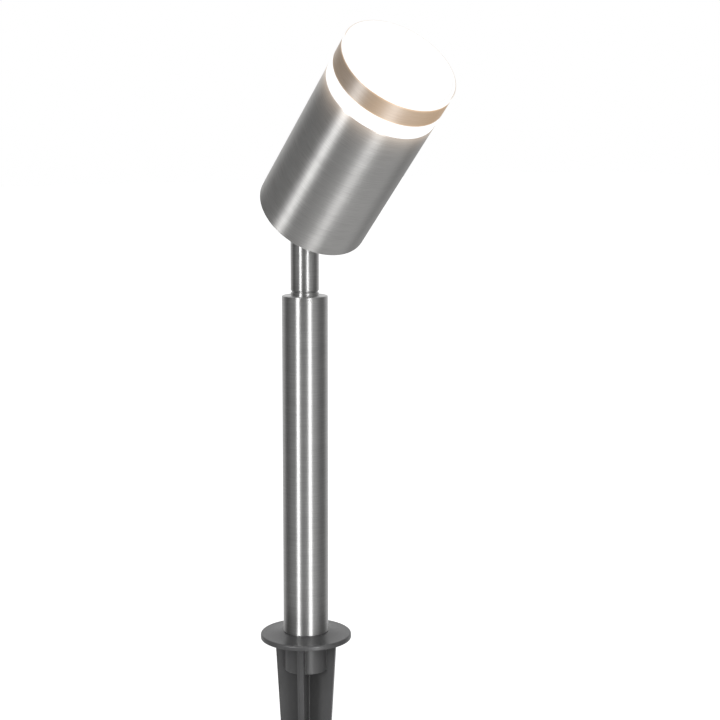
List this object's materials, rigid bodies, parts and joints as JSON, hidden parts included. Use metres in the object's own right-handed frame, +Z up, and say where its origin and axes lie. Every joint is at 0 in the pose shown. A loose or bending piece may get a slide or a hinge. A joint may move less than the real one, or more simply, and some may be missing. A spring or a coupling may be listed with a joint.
{
  "type": "garden spotlight",
  "caption": "Garden spotlight: a tilting, swivelling cylindrical steel head with an opal lit face and side band, on a tubular pole with a finned ground spike.",
  "frame": {"origin": "centre of the ground spike's flange, on the underside that meets the soil, on the pole's axis", "axes": "+Z up along the pole, -Y the way the head leans, X along the tilt hinge's axle"},
  "size_m": [0.054, 0.1158, 0.4611],
  "materials": {
    "head_steel": "stainless tube, brushed round its circumference",
    "pole_steel": "stainless tube, brushed round its circumference",
    "turned_steel": "stainless bar, turned and satin",
    "fastener_steel": "bright stainless",
    "spike_plastic": "dark moulded glass-filled plastic, satin",
    "grommet_rubber": "moulded",
    "seal_rubber": "moulded",
    "lead_jacket": "matt jacket",
    "nylon": "natural",
    "circuit_board": "green solder mask",
    "terminal_plastic": "moulded",
    "choke_copper": "enamelled copper",
    "capacitor_sleeve": "shrunk sleeve",
    "chip_resin": "moulded",
    "cast_aluminium": "as cast, faces machined",
    "light_board": "white solder mask on aluminium",
    "led_phosphor": "yellow phosphor",
    "opal_diffuser": "opal acrylic, lit",
    "opal_lens": "opal acrylic, lit"
  },
  "bodies": {
    "base": {"ground_spike": "spike_plastic", "cable_grommet": "grommet_rubber", "pole_tube": "pole_steel", "pole_grub_screw": "fastener_steel", "pole_cap": "turned_steel", "swivel_stop_pin": "fastener_steel", "pole_lead": "lead_jacket"},
    "neck": {"neck_stem": "turned_steel", "neck_tab_washer": "fastener_steel", "neck_lock_nut": "fastener_steel", "neck_lead": "lead_jacket", "hinge_axle": "fastener_steel", "hinge_friction_washer": "nylon", "hinge_spring_washer": "fastener_steel", "hinge_nut": "fastener_steel"},
    "head": {"hinge_tongue": "turned_steel", "tongue_washer": "fastener_steel", "tongue_nut": "fastener_steel", "back_plate": "turned_steel", "back_seal": "seal_rubber", "tie_screws": "fastener_steel", "rear_spacers": "nylon", "front_spacers": "nylon", "driver_board": "circuit_board", "driver_terminal": "terminal_plastic", "driver_choke": "choke_copper", "driver_capacitor": "capacitor_sleeve", "driver_chips": "chip_resin", "heat_sink": "cast_aluminium", "led_board": "light_board", "led_chips": "led_phosphor", "led_screws": "fastener_steel", "led_wires": "lead_jacket", "head_lead": "lead_jacket", "head_tube": "head_steel", "front_seal": "seal_rubber", "side_diffuser": "opal_diffuser", "trim_ring": "head_steel", "front_lens": "opal_lens"}
  },
  "joints": [
    {"name": "neck_swivel", "type": "hinge", "parent": "base", "child": "neck", "pos_m": [0, 0, 0.1718], "axis": [0, 0, 1], "range_deg": [-170, 170]},
    {"name": "head_tilt", "type": "hinge", "parent": "neck", "child": "head", "pos_m": [0, 0, 0.2026], "axis": [1, 0, 0], "range_deg": [-45, 45]}
  ]
}
